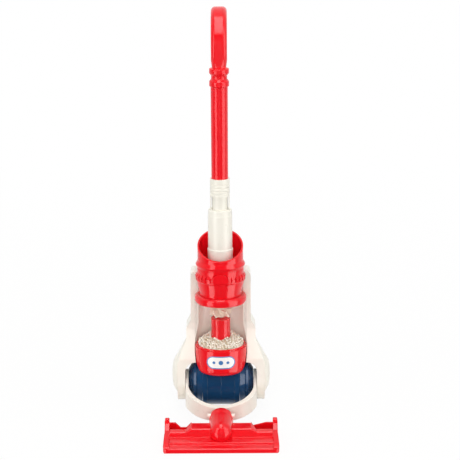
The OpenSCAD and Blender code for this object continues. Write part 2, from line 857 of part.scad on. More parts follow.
module motor_tower() {
    bore = motor_r + slip;
    color(red) at_bin() difference() {
        cylinder(r = tower_r, h = tower_top);
        translate([0, 0, -eps]) cylinder(r = bore, h = tower_top - 3);
        cylinder(r = 2, h = tower_top + 1);
        translate([0, bin_fwd, 0]) bar_x(saddle_r + base_wall + slip / 3, 4 * bin_r);
    }
}

motor_l = 25;
motor_top = tower_top - 3 - slip;
shaft_r = 1;

module motor() {
    color(steel) at_bin() difference() {
        translate([0, 0, motor_top - motor_l]) cylinder(r = motor_r, h = motor_l);
        translate([0, 0, motor_top - 12]) cylinder(r = shaft_r + shaft_fit, h = 20);
    }
}

fan_low = tower_top + 2;
fan_top = fan_low + 15;

module motor_shaft() {
    color(steel) at_bin() translate([0, 0, motor_top - 11.5])
        cylinder(r = shaft_r, h = fan_top - 2 - motor_top + 11.5);
}

// Pitched paddles round a hub
module whirl_fan() {
    blade_t = 2;
    blade_h = 12;
    pitch = 32;
    color(cream) at_bin() difference() {
        union() {
            translate([0, 0, fan_low]) cylinder(r = 6, h = fan_top - fan_low);
            for (i = [0:fan_blades - 1])
                rotate([0, 0, 20 + i * 360 / fan_blades]) translate([3, 0, (fan_low + fan_top) / 2])
                    rotate([pitch, 0, 0]) translate([0, -blade_t / 2, -blade_h / 2])
                        cube([fan_r - 3.4, blade_t, blade_h]);
        }
        translate([0, 0, fan_low - 1]) cylinder(r = shaft_r + slip / 3, h = fan_top - fan_low - 1 + eps);
    }
}

// Heap of beads, higher at the back, with loose beads on top
module beads() {
    heap_r = bin_r - clear_wall - base_wall - 2 * slip - 0.4;
    heap_in = tower_r + 2 * slip;
    heap_mid = base_rim + 7;
    heap_tilt = lean;
    golden = 137.508;
    color(cream) at_bin() difference() {
        union() {
            intersection() {
                translate([0, 0, bin_bottom]) cylinder(r = heap_r, h = heap_mid);
                translate([0, 0, heap_mid]) rotate([heap_tilt, 0, 0])
                    translate([-60, -60, -60]) cube([120, 120, 60]);
            }
            translate([0, 0, heap_mid]) rotate([heap_tilt, 0, 0]) for (i = [0:bead_count - 1])
                let (r = sqrt(pow(heap_in + bead_r + 1, 2) + (pow(heap_r - bead_r - 1, 2)
                          - pow(heap_in + bead_r + 1, 2)) * (i + 0.5) / bead_count))
                    translate([r * cos(i * golden), r * sin(i * golden), 0.3 * bead_r]) sphere(bead_r);
        }
        translate([0, 0, -eps]) cylinder(r = heap_in, h = 3 * heap_mid);
        translate([0, bin_fwd, 0]) bar_x(saddle_r + base_wall + 2 * slip, 4 * bin_r);
        difference() {
            translate([0, 0, bin_bottom - 5]) cylinder(r = 2 * bin_r, h = base_rim - bin_bottom);
            turned(rounded([[0, bin_bottom + base_wall + slip, 0],
                [base_foot_r - base_wall - 2 * slip, bin_bottom + base_wall + slip, base_round - base_wall],
                [bin_r - 2 * base_wall - 2 * slip, base_rim - base_wall, 0],
                [bin_r - 2 * base_wall - 2 * slip, base_rim + 7, 0], [0, base_rim + 7, 0]]));
        }
    }
}

// Funnel, cup and button

// Ring outline with square-cut flutes
function flute_ring(r_in, r_out) = [for (i = [0:flutes - 1], k = [0:3])
    let (a = (i + [0.06, 0.1, 0.68, 0.72][k]) * 360 / flutes, r = (k == 1 || k == 2) ? r_out : r_in)
    r * [sin(a), cos(a)]];

button_low = lip_u + 2.2;

module button_outline(gap) {
    half = button_w / 2 + gap;
    top = button_low + button_h + gap;
    polygon(rounded([[-half, button_low - gap, 0], [half, button_low - gap, 0], [half, top, 0.42 * button_w],
        [-half, top, 0.42 * button_w]], 8));
}

module funnel() {
    foot = lid_top;
    pedestal = 14;
    lip_r = ring_r - 0.5;
    color(red) at_bin() difference() {
        union() {
            difference() {
                union() {
                    turned(rounded([[0, foot, 0], [funnel_r, foot, 0], [funnel_r, foot + 4, 6],
                        [lip_r - 1.4, lip_u - 1.2, 3], [lip_r, lip_u, 0.5], [lip_r, lip_u + 1.6, 0.5],
                        [waist_r, lip_u + 1.6, 0], [waist_r, cup_low, 0], [0, cup_low, 0]]));
                    intersection() {
                        translate([0, 0, lip_u + 1]) linear_extrude(flute_h + 1)
                            polygon(flute_ring(waist_r - 0.5, ring_r));
                        turned([[0, lip_u], [lip_r, lip_u], [lip_r, lip_u + 1.5], [ring_r, lip_u + 0.7 * flute_h],
                            [waist_r, lip_u + 2 + flute_h], [0, lip_u + 2 + flute_h]]);
                    }
                }
                turned([[0, foot + cup_wall], [funnel_r - cup_wall, foot + cup_wall],
                    [waist_r - cup_wall, lip_u], [waist_r - cup_wall, cup_low + 1], [0, cup_low + 1]]);
            }
            // pedestal of the switch
            translate([-pedestal / 2, -switch_front, foot + 1])
                cube([pedestal, switch_d, button_mid - switch_h / 2 - slip - foot - 1]);
        }
        along_y(-2 * ring_r, 0) button_outline(run_gap / 2);
    }
}

button_mid = button_low + button_h / 2;
switch_front = 22;
switch_d = 12;
switch_h = 10;

module push_button() {
    back = waist_r - cup_wall;
    color(red) at_bin() {
        intersection() {
            along_y(-2 * ring_r, 0) button_outline(0);
            difference() {
                cylinder(r = ring_r, h = 2 * cup_low);
                translate([0, 0, -1]) cylinder(r = back, h = 2 * cup_low + 2);
            }
        }
        translate([0, 0, button_mid]) rotate([90, 0, 0])
            translate([0, 0, switch_front + button_travel + 0.5]) cylinder(r = 3, h = back - switch_front - button_travel);
    }
}

module switch() {
    color("#2b2b2e") at_bin() translate([-6, -switch_front, button_mid - switch_h / 2])
        cube([12, switch_d, switch_h]);
}

module button_spring() {
    spring_in = 3 + 0.4;
    color(steel) at_bin() translate([0, 0, button_mid]) rotate([90, 0, 0])
        translate([0, 0, switch_front + slip]) difference() {
            cylinder(r = spring_in + 1.2, h = 31 - switch_front);
            translate([0, 0, -1]) cylinder(r = spring_in, h = 40);
        }
}

module wand_cup() {
    rim_mid = (cup_front + cup_back) / 2;
    slant = atan((cup_back - cup_front) / (2 * cup_r));
    ring_mid = cup_low + 6.5;
    color(red) at_bin() difference() {
        turned(rounded([[0, cup_low, 0], [waist_r, cup_low, 0.8], [waist_r + 0.2, ring_mid - 4.5, 2],
            [ring_r - 0.7, ring_mid, 1.4], [cup_r + 0.3, ring_mid + 6, 3], [cup_r, cup_back + 5, 0],
            [0, cup_back + 5, 0]]));
        translate([0, 0, cup_floor]) cylinder(r = cup_r - cup_wall, h = cup_back);
        translate([0, 0, rim_mid]) rotate([slant, 0, 0])
            translate([-3 * cup_r, -3 * cup_r, 0]) cube([6 * cup_r, 6 * cup_r, cup_back]);
    }
}

// Wand and handle

module wand_tube() {
    band_u = tube_top - 10;
    color(ivory) at_bin() difference() {
        turned(rounded([[0, wand_low, 0], [collar_r - 1, wand_low, 1], [collar_r, collar_top, 0.8],
            [tube_r, collar_top + 0.6, 0], [tube_r, band_u, 0], [tube_r - 0.4, band_u + 0.6, 0],
            [tube_r - 0.6, tube_top, 1.2], [0, tube_top, 0]]));
        translate([0, 0, wand_low - 1]) cylinder(r = tube_r - pipe_wall - 0.6, h = tube_top - wand_low - 3);
        translate([0, 0, wand_low]) cylinder(r = link_r + slip, h = tube_top);
    }
}

link_low = tube_top - 22;

module connector() {
    clip_t = 1.9;
    clip_w = 10;
    seat = ribbed_top - 22;
    first_rib = ribbed_low + (ribbed_top - ribbed_low - (rib_count - 1) * rib_step) / 3;
    color(ivory) at_bin() difference() {
        union() {
            translate([0, 0, link_low]) cylinder(r = link_r, h = ribbed_low - link_low + 1);
            translate([0, 0, ribbed_low]) cylinder(r = ribbed_r, h = ribbed_top - ribbed_low);
            // spring clips either side of the neck
            both_sides() translate([ribbed_r - clip_t - 0.3, -clip_w / 2, tube_top + 2 * slip])
                cube([clip_t, clip_w, ribbed_low - tube_top - 2 * slip + 1]);
        }
        for (i = [0:rib_count - 1])
            translate([0, 0, first_rib + i * rib_step]) rotate_extrude()
                translate([ribbed_r + 0.3, 0]) circle(1.1, $fn = 24);
        translate([0, 0, link_low - 1]) cylinder(r = link_r - pipe_wall, h = ribbed_top);
        translate([0, 0, seat]) cylinder(r = pipe_r + slip, h = ribbed_top);
    }
}

module handle_pipe() {
    low = ribbed_top - 22 + slip;
    bead_low = grip_low - 3 - bead_collar_h;
    socket_r = pipe_top_r - pipe_wall;
    color(red) at_bin() difference() {
        turned(rounded([[0, low, 0], [pipe_r, low, 0.6], [pipe_r, ribbed_top, 0], [pipe_top_r, bead_low, 0],
            [bead_collar_r, bead_low + 0.12 * bead_collar_h, 1], [bead_collar_r, bead_low + 0.72 * bead_collar_h, 1.5],
            [pipe_top_r - 0.9, grip_low - 2.6, 0], [pipe_top_r - 0.9, grip_low, 0], [socket_r - slip, grip_low, 0],
            [socket_r - slip, grip_low + spigot_h, 0], [0, grip_low + spigot_h, 0]]));
        translate([0, 0, low - 1]) cylinder(r = pipe_r - pipe_wall, h = grip_low - low - 2);
        translate([0, 0, low]) cylinder(r = socket_r - slip - pipe_wall, h = grip_low);
    }
}

// The pipe's spigot inside the grip's bead collar
spigot_h = bead_collar_h;

// Section of the grip: a rounded rectangle
module grip_section(grow = 0) {
    dx = grip_w / 2 - grip_round;
    dy = grip_d / 2 - grip_round;
    square([2 * dx, grip_d + 2 * grow], center = true);
    square([grip_w + 2 * grow, 2 * dy], center = true);
    for (x = [-dx, dx], y = [-dy, dy])
        translate([x, y]) circle(grip_round + grow);
}

module handle_grip() {
    socket_r = pipe_top_r - pipe_wall;
    bead_top = grip_low + 3 + bead_collar_h;
    shape_u = bead_top + 26;
    end_t = 5;
    end_round = 14;
    color(red) at_bin() difference() {
        union() {
            turned(rounded([[0, grip_low, 0], [pipe_top_r - 0.9, grip_low, 0], [pipe_top_r - 0.9, grip_low + 2.6, 0],
                [bead_collar_r, grip_low + 3 + 0.28 * bead_collar_h, 1.5],
                [bead_collar_r, grip_low + 3 + 0.86 * bead_collar_h, 1], [grip_d / 2, bead_top, 0],
                [0, bead_top, 0]]));
            // the section grows out of a round neck
            translate([0, 0, bead_top - 1]) intersection() {
                linear_extrude(bend_start - bead_top + 1) grip_section();
                union() {
                    cylinder(r1 = grip_d / 2, r2 = grip_w / 2 + 2, h = shape_u - bead_top);
                    translate([0, 0, shape_u - bead_top]) cylinder(r = grip_w, h = bend_start);
                }
            }
            // the bend overlaps both straight stretches by a degree
            translate([0, bend_r, bend_start]) rotate([90, 0, 90]) rotate([0, 0, 179 - bend_angle])
                rotate_extrude(angle = bend_angle + 2) translate([bend_r, 0]) rotate(90) grip_section(0.04);
            translate([0, bend_r, bend_start]) rotate([-bend_angle, 0, 0]) translate([0, -bend_r, 0])
                intersection() {
                    linear_extrude(tail + end_t) grip_section();
                    union() {
                        translate([0, 0, tail + end_t - end_round]) bar_x(end_round, 2 * grip_w);
                        translate([-grip_w, -grip_d, -1])
                            cube([2 * grip_w, 2 * grip_d, tail + end_t - end_round + 1]);
                    }
                }
        }
        translate([0, 0, grip_low - 1]) cylinder(r = socket_r, h = spigot_h + slip + 1);
        grip_bore();
    }
}

// Hollow along the grip, from the spigot to the tail
module grip_bore() {
    translate([0, 0, grip_low + spigot_h - 1]) cylinder(r = grip_d / 2 - grip_wall, h = bend_start - grip_low - spigot_h);
    translate([0, bend_r, bend_start]) rotate([90, 0, 90]) rotate([0, 0, 180 - bend_angle])
        rotate_extrude(angle = bend_angle) translate([bend_r, 0]) rotate(90) grip_section(-grip_wall);
    translate([0, bend_r, bend_start]) rotate([-bend_angle, 0, 0]) translate([0, -bend_r, -1])
        cylinder(r = grip_d / 2 - grip_wall - 0.3, h = tail - 2);
}

u_yoke();
axle();
axle_caps();
ball_left();
ball_right();
head_shell();
sole_plate();
sole_screws();
neck_hood();
front_body();
rear_body();
side_cover_left();
side_cover_right();
body_screws();
battery_cover();
cover_screw();
battery_cells();
battery_contacts();
bin_base();
bin_clear();
bin_lid();
motor_tower();
motor();
motor_shaft();
whirl_fan();
beads();
funnel();
wand_cup();
switch();
button_spring();
push_button();
wand_tube();
connector();
handle_pipe();
handle_grip();
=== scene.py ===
# %% [markdown]
# # A toy upright vacuum cleaner
# The CAD model already holds every rigid piece of the toy, so this lesson starts from it and gives each
# piece its finish. The few things that CAD doesn't hold, such as the loose beads in the bin and a small
# sticker, are made here as meshes. Everything is in metres, with +Z up and the front towards -Y.

# %% Load the CAD model
import json
import math
import random

import bmesh
import bpy
from mathutils import Matrix, Vector
from mathutils.bvhtree import BVHTree

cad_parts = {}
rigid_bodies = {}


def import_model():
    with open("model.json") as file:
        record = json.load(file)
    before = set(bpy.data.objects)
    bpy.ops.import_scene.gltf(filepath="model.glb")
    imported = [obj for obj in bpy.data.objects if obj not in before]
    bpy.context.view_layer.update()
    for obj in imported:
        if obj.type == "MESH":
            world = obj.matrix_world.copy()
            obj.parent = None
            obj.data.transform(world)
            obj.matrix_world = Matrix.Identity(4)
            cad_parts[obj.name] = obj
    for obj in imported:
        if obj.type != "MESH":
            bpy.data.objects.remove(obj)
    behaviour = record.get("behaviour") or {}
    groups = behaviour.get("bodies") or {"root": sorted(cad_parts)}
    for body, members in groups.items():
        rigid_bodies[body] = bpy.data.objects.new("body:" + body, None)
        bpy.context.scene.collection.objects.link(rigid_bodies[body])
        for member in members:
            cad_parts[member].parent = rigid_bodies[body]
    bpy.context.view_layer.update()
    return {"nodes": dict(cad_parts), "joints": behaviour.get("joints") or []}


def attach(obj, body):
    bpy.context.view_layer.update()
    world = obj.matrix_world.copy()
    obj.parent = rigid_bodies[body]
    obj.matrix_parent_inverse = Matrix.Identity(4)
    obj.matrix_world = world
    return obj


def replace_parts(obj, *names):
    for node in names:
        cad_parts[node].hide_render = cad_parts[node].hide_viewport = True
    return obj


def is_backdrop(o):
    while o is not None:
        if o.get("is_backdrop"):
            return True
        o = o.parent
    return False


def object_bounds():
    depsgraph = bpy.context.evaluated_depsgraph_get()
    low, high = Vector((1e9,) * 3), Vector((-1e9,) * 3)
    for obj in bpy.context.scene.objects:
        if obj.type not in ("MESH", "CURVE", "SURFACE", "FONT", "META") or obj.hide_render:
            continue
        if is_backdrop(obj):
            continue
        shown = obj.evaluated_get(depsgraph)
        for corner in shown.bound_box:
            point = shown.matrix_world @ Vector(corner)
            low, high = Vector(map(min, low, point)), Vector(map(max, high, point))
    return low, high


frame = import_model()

nodes = frame["nodes"]
MM = 0.001
scene = bpy.context.scene

# %% [markdown]
# ## The camera
# The picture was taken with a long lens from in front, about 25 degrees above the floor and leaning a
# third of a degree to one side. A long lens keeps the pipe nearly parallel. The camera's axes are written
# as a matrix, because that says the roll exactly, and the lens comes from the focal length in pixels of a
# 460 pixel picture.

# %% Camera at the picture's angle
PICTURE = 460
FOCAL_PIXELS = 1900
SENSOR = 36.0
CAMERA_AT = Vector((15.52, -2555.54, 1530.01)) * MM
pitch = math.radians(24.5)
roll = math.radians(0.32)
ahead = Vector((0, math.cos(pitch), -math.sin(pitch)))
level_up = Vector((0, math.sin(pitch), math.cos(pitch)))
right = math.cos(roll) * Vector((1, 0, 0)) - math.sin(roll) * level_up
up = math.sin(roll) * Vector((1, 0, 0)) + math.cos(roll) * level_up
lens = bpy.data.cameras.new("camera")
lens.sensor_width = SENSOR
lens.lens = SENSOR * FOCAL_PIXELS / PICTURE
lens.clip_end = 50
camera = bpy.data.objects.new("camera", lens)
scene.collection.objects.link(camera)
camera.matrix_world = Matrix((right, up, -ahead)).transposed().to_4x4()
camera.location = CAMERA_AT
scene.camera = camera
print("lens in mm:", round(lens.lens, 1))

# %% [markdown]
# ## Helpers for materials
# Colours are picked as sRGB hex values, as in a paint program, and Blender's shaders want linear numbers,
# so one function turns one into the other. A second small function adds a shader node, sets it and links
# it. Pattern scales come from a real size in millimetres: a noise texture's scale is how many of its
# blobs fit in one metre.


# %% Colour and node helpers
def linear(code):
    parts = [int(code[i:i + 2], 16) / 255 for i in (1, 3, 5)]
    return tuple(p / 12.92 if p <= 0.04045 else ((p + 0.055) / 1.055) ** 2.4 for p in parts) + (1.0,)


def per_metre(size_mm):
    return 1 / (size_mm * MM)


def add(tree, kind, inputs, **settings):
    node = tree.nodes.new(kind)
    for name, value in settings.items():
        setattr(node, name, value)
    for name, value in inputs.items():
        if isinstance(value, bpy.types.NodeSocket):
            tree.links.new(value, node.inputs[name])
        else:
            node.inputs[name].default_value = value
    return node


def blank(name):
    material = bpy.data.materials.new(name)
    material.use_nodes = True
    material.node_tree.nodes.clear()
    return material, material.node_tree


print("red in linear numbers:", [round(c, 3) for c in linear("#F01521")])

# %% [markdown]
# ## Moulded ABS
# Nearly all of the toy is ABS, injected into polished steel moulds. That gives an even colour all through,
# and a gloss that is clear but not mirror sharp. One recipe makes all the plastics: a faint drift of colour
# over centimetres and a gloss that wanders a little where hands have rubbed it. A mould's edges are never
# knife sharp, so a bevel node rounds the shading over the last half millimetre or so of each corner, and
# the edge catches a thin line of light. The floor head has rounder edges, and the tubes have none to round.


# %% ABS in its colours
def moulded_abs(name, colour, shade, rough, edge, specular):
    material, tree = blank(name)
    place = add(tree, "ShaderNodeTexCoord", {}).outputs["Object"]
    drift = add(tree, "ShaderNodeTexNoise", {"Vector": place, "Scale": per_metre(45), "Detail": 2.0})
    tint = add(tree, "ShaderNodeMix", {
        "Factor": drift.outputs["Fac"], "A": linear(colour), "B": linear(shade)}, data_type="RGBA")
    scuff = add(tree, "ShaderNodeTexNoise", {"Vector": place, "Scale": per_metre(8), "Detail": 3.0})
    gloss = add(tree, "ShaderNodeMapRange", {
        "Value": scuff.outputs["Fac"], "From Min": 0.3, "From Max": 0.75,
        "To Min": rough * 0.9, "To Max": rough * 1.1})
    round_edge = add(tree, "ShaderNodeBevel", {"Radius": edge * MM}, samples=8)
    body = add(tree, "ShaderNodeBsdfPrincipled", {
        "Base Color": tint.outputs["Result"], "Roughness": gloss.outputs["Result"], "IOR": 1.53,
        "Specular IOR Level": specular, "Normal": round_edge.outputs["Normal"]})
    add(tree, "ShaderNodeOutputMaterial", {"Surface": body.outputs["BSDF"]})
    return material


REDS = ("#F01521", "#E8101C")
RED = moulded_abs("ABS_red_gloss_moulded", *REDS, 0.14, 0.6, 0.34)
RED_SOFT = moulded_abs("ABS_red_gloss_round_edged", *REDS, 0.13, 1.8, 0.34)
RED_ROUND = moulded_abs("ABS_red_gloss_tube", *REDS, 0.2, 0.02, 0.34)
IVORY = moulded_abs("ABS_ivory_satin_moulded", "#F3F0E6", "#EEEADD", 0.30, 0.6, 0.4)
NAVY = moulded_abs("ABS_navy_gloss_moulded", "#124069", "#0F385E", 0.15, 0.5, 0.4)
CREAM = moulded_abs("polypropylene_cream_moulded", "#F3EBD8", "#ECE2CB", 0.42, 0.4, 0.4)
BLACK = moulded_abs("ABS_black_matt_moulded", "#1B1B1D", "#161617", 0.55, 0.3, 0.4)
print("plastics:", [m.name for m in (RED, RED_SOFT, RED_ROUND, IVORY, NAVY, CREAM, BLACK)])

# %% [markdown]
# ## Clear polystyrene
# The bin's wall is clear crystal polystyrene, polished in the mould. Seen square on it is nearly invisible,
# and towards its edges the eye looks through more and more plastic, so two grey lines frame it. Glass that
# bends light would keep the lamps out of the bin, so the wall is made as a thin glossy film instead: mostly
# see-through in the middle and denser where it turns away.

# %% Clear wall
CLEAR, tree = blank("polystyrene_clear_moulded")
turn = add(tree, "ShaderNodeLayerWeight", {"Blend": 0.5})
dense = add(tree, "ShaderNodeMath", {0: turn.outputs["Facing"], 1: 9.0}, operation="POWER")
film = add(tree, "ShaderNodeMapRange", {"Value": dense.outputs[0], "To Min": 0.012, "To Max": 0.8})
body = add(tree, "ShaderNodeBsdfPrincipled", {
    "Base Color": linear("#A9A39C"), "Roughness": 0.06, "IOR": 1.59, "Alpha": film.outputs["Result"]})
add(tree, "ShaderNodeOutputMaterial", {"Surface": body.outputs["BSDF"]})
print("clear:", CLEAR.name)

# %% [markdown]
# ## Steel and battery wrap
# The axle, screws, springs and contacts are plain drawn steel, with fine lines along the drawing
# direction. The cells have a printed film round them, which is left plain.

# %% Steel and wrap
STEEL, tree = blank("steel_drawn_plain")
place = add(tree, "ShaderNodeTexCoord", {}).outputs["Object"]
stretch = add(tree, "ShaderNodeMapping", {"Vector": place, "Scale": (0.05, 1.0, 1.0)})
lines = add(tree, "ShaderNodeTexNoise", {
    "Vector": stretch.outputs["Vector"], "Scale": per_metre(0.6), "Detail": 3.0})
gloss = add(tree, "ShaderNodeMapRange", {"Value": lines.outputs["Fac"], "To Min": 0.22, "To Max": 0.42})
body = add(tree, "ShaderNodeBsdfPrincipled", {
    "Base Color": linear("#C9CACC"), "Metallic": 1.0, "Roughness": gloss.outputs["Result"]})
add(tree, "ShaderNodeOutputMaterial", {"Surface": body.outputs["BSDF"]})
WRAP = moulded_abs("PVC_film_wrap_grey", "#3E4A40", "#384339", 0.35, 0.3, 0.5)
print("metal:", STEEL.name)

# %% [markdown]
# ## Finish of each CAD piece
# Each node of the CAD model gets its material. The meshes come with the exact normals of the CAD surfaces,
# so round forms already shade smoothly and corners are crisp. Shade-smooth tools would spoil those normals,
# so the meshes are left as they are. The clear wall lets the lamps through, so it casts no shadow, and the
# funnel is kept from throwing red light on the ivory beside it.

# %% Put the finishes on
FINISH = {
    RED_SOFT: ["head_shell", "neck_hood"],
    RED: ["sole_plate", "bin_base", "bin_lid", "motor_tower", "funnel", "wand_cup", "push_button"],
    RED_ROUND: ["handle_pipe", "handle_grip"],
    IVORY: ["u_yoke", "front_body", "rear_body", "side_cover_left", "side_cover_right", "battery_cover",
            "wand_tube", "connector"],
    NAVY: ["ball_left", "ball_right"],
    CLEAR: ["bin_clear"],
    CREAM: ["whirl_fan", "beads"],
    BLACK: ["switch"],
    WRAP: ["battery_cells"],
    STEEL: ["axle", "axle_caps", "sole_screws", "body_screws", "cover_screw", "battery_contacts", "motor",
            "motor_shaft", "button_spring"],
}
for material, names in FINISH.items():
    for name in names:
        nodes[name].data.materials.clear()
        nodes[name].data.materials.append(material)
nodes["bin_clear"].visible_shadow = False
nodes["bin_clear"].visible_diffuse = False
nodes["funnel"].visible_diffuse = False
print("finished nodes:", sum(len(names) for names in FINISH.values()), "of", len(nodes))

# %% [markdown]
# ## Places on the leaning body
# The body leans back ten degrees about the ball's axle. Pieces on it are easier to place along the body's
# own directions, so a small function turns across, back and up along the body into the shared frame. The
# axle's place is read from the joint that the body turns on.

# %% Body directions
axle = next(Vector(j["pos_m"]) for j in frame["joints"] if j["name"] == "body_recline")
LEAN = math.radians(10)
BODY_BACK = Vector((0, math.cos(LEAN), -math.sin(LEAN)))
BODY_UP = Vector((0, math.sin(LEAN), math.cos(LEAN)))
BIN_BACK = -14.0


def on_body(across, back, high):
    return axle + (Vector((across, 0, 0)) + back * BODY_BACK + high * BODY_UP) * MM


def add_piece(name, mesh, material, body):
    piece = bpy.data.objects.new(name, mesh)
    scene.collection.objects.link(piece)
    mesh.materials.append(material)
    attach(piece, body)
    return piece


def tree_of(name):
    mesh = nodes[name].data
    return BVHTree.FromPolygons([v.co for v in mesh.vertices], [p.vertices for p in mesh.polygons])


print("bin axis at floor of the body:", [round(c / MM, 1) for c in on_body(0, BIN_BACK, 0)])

# %% [markdown]
# ## Beads in the bin
# The bin holds foamed polystyrene beads, about 4 mm across, that the fan whirls round. Foam is matt and
# lets a little light in, so the beads look soft, and they differ a little in tint. They lie level in the
# leaning bin and are heaped up round the motor tower. Beads are dropped at seeded random places and kept
# where they don't overlap, in two layers over a plain core, with more stacked against the clear wall. The
# core is tinted a darker brown: painted shade for the gaps between the beads.

# %% Foam bead finish
FOAM, tree = blank("polystyrene_foam_beads")
# The tint attribute holds each bead's random tone, and on the core it holds painted shade for the gaps
# between beads.
tint = add(tree, "ShaderNodeAttribute", {}, attribute_name="bead_tint_and_gap_shade")
place = add(tree, "ShaderNodeTexCoord", {}).outputs["Object"]
cells = add(tree, "ShaderNodeTexVoronoi", {"Vector": place, "Scale": per_metre(0.5)})
bump = add(tree, "ShaderNodeBump", {
    "Height": cells.outputs["Distance"], "Strength": 0.2, "Distance": 0.1 * MM})
colour = add(tree, "ShaderNodeMix", {
    "Factor": tint.outputs["Fac"], "A": linear("#FAF6EA"), "B": linear("#B3965C")}, data_type="RGBA")
body = add(tree, "ShaderNodeBsdfPrincipled", {
    "Base Color": colour.outputs["Result"], "Roughness": 0.6, "Subsurface Weight": 0.15,
    "Subsurface Radius": (0.6 * MM, 0.6 * MM, 0.5 * MM), "Subsurface Scale": 1.0,
    "Normal": bump.outputs["Normal"]})
add(tree, "ShaderNodeOutputMaterial", {"Surface": body.outputs["BSDF"]})
print("foam:", FOAM.name)

# %% Where the beads lie
BEAD_R = 1.9
HEAP_IN, HEAP_OUT = 15.6, 36.2
HEAP_MID, HEAP_RISE, HEAP_CURVE = 69.5, 13.0, 1.15
SWELL, WAVE_ACROSS, WAVE_DEEP = 0.9, 0.21, 0.17
RIM_UP = 62.5
GAP = 2 * BEAD_R * 0.88
LAYERS, TRIES = 2, 12000
WALL_R = HEAP_OUT - BEAD_R
WALL_ROWS, WALL_BEADS, ROW_STEP = 5, 54, 3.5
draw = random.Random(7)


def heap_top(across, deep):
    r = math.hypot(across, deep)
    rise = max(0.0, 1 - (r - HEAP_IN) / (HEAP_OUT - HEAP_IN))
    swell = SWELL * math.sin(across * WAVE_ACROSS + 1.0) * math.cos(deep * WAVE_DEEP)
    return HEAP_MID + deep * math.tan(LEAN) + HEAP_RISE * rise ** HEAP_CURVE + swell


spots = []
for layer in range(LAYERS):
    taken = []
    for attempt in range(TRIES):
        r = math.sqrt(draw.uniform((HEAP_IN + 0.6 * BEAD_R) ** 2, WALL_R ** 2))
        t = draw.uniform(0, math.tau)
        a, d = r * math.sin(t), r * math.cos(t)
        high = heap_top(a, d) - BEAD_R - layer * 1.5 * BEAD_R + draw.uniform(-0.9, 0.6)
        if all((a - p[0]) ** 2 + (d - p[1]) ** 2 + (high - p[2]) ** 2 > GAP ** 2 for p in taken):
            taken.append((a, d, high))
    spots += taken
for row in range(WALL_ROWS):
    for i in range(WALL_BEADS):
        t = (i + 0.5 * (row % 2) + draw.uniform(-0.2, 0.2)) * math.tau / WALL_BEADS
        a, d = WALL_R * math.sin(t), WALL_R * math.cos(t)
        high = RIM_UP + 1 + row * ROW_STEP + draw.uniform(-0.6, 0.6)
        if high < heap_top(a, d) - BEAD_R:
            spots.append((a, d, high))
print("beads:", len(spots))

# %% Bead heap as one mesh
BEAD_SIZES = (0.88, 1.06)
BEAD_TINTS = (0.0, 0.0, 0.05, 0.1, 0.15, 0.2, 0.35, 0.6)
ball = bmesh.new()
bmesh.ops.create_icosphere(ball, subdivisions=2, radius=1.0)
ball_points = [v.co.copy() for v in ball.verts]
ball_faces = [[v.index for v in f.verts] for f in ball.faces]
ball.free()
points, faces, tints_and_gap_shade = [], [], []
for across, deep, high in spots:
    centre = on_body(across, BIN_BACK + deep, high)
    size = BEAD_R * draw.uniform(*BEAD_SIZES) * MM
    shade = draw.choice(BEAD_TINTS)
    first = len(points)
    points.extend(centre + p * size for p in ball_points)
    faces.extend([first + i for i in f] for f in ball_faces)
    tints_and_gap_shade.extend([shade] * len(ball_points))
AROUND, ACROSS = 48, 6
# The core's tint is darker than most beads: painted shade for the gaps between them.
CORE_DOWN, CORE_FLOOR, CORE_GAP_SHADE = 2.2 * BEAD_R, RIM_UP - 4, 0.7
core = len(points)
for ring in range(ACROSS):
    r = HEAP_IN + (WALL_R - HEAP_IN) * ring / (ACROSS - 1)
    for i in range(AROUND):
        a, d = r * math.sin(i * math.tau / AROUND), r * math.cos(i * math.tau / AROUND)
        points.append(on_body(a, BIN_BACK + d, heap_top(a, d) - CORE_DOWN))
for r in (WALL_R, HEAP_IN):
    for i in range(AROUND):
        a, d = r * math.sin(i * math.tau / AROUND), r * math.cos(i * math.tau / AROUND)
        points.append(on_body(a, BIN_BACK + d, CORE_FLOOR))
loops = ACROSS + 2
for ring in range(loops):
    for i in range(AROUND):
        j = (i + 1) % AROUND
        near, far = core + ring * AROUND, core + ((ring + 1) % loops) * AROUND
        faces.append([near + i, far + i, far + j, near + j])
tints_and_gap_shade.extend([CORE_GAP_SHADE] * (len(points) - core))
heap_mesh = bpy.data.meshes.new("bead_heap")
heap_mesh.from_pydata(points, [], faces)
heap_mesh.attributes.new("bead_tint_and_gap_shade", "FLOAT", "POINT").data.foreach_set("value", tints_and_gap_shade)
heap_mesh.shade_smooth()
heap = add_piece("bead_heap", heap_mesh, FOAM, "main_body")
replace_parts(heap, "beads")
print("heap faces:", len(faces))

# %% [markdown]
# ## Sticker on the bin
# A small vinyl sticker sits on the front of the bin's red base. It is a plain pill with a blue edge and
# three round spots. Its points are cast onto the base along the body's back direction, so that it follows
# the curve exactly and stands proud by a tenth of a millimetre.


# %% Sticker finish
def vinyl(name, colour):
    material, tree = blank(name)
    place = add(tree, "ShaderNodeTexCoord", {}).outputs["Object"]
    fleck = add(tree, "ShaderNodeTexNoise", {"Vector": place, "Scale": per_metre(2), "Detail": 2.0})
    gloss = add(tree, "ShaderNodeMapRange", {"Value": fleck.outputs["Fac"], "To Min": 0.25, "To Max": 0.4})
    body = add(tree, "ShaderNodeBsdfPrincipled", {
        "Base Color": linear(colour), "Roughness": gloss.outputs["Result"]})
    add(tree, "ShaderNodeOutputMaterial", {"Surface": body.outputs["BSDF"]})
    return material


VINYL_WHITE = vinyl("vinyl_white_printed", "#F7F7F4")
VINYL_BLUE = vinyl("vinyl_blue_printed", "#3C78B4")
print("vinyl:", VINYL_WHITE.name, VINYL_BLUE.name)

# %% Sticker pieces
base_tree = tree_of("bin_base")
STICKER_UP = 45.0
WELL_IN_FRONT = -100


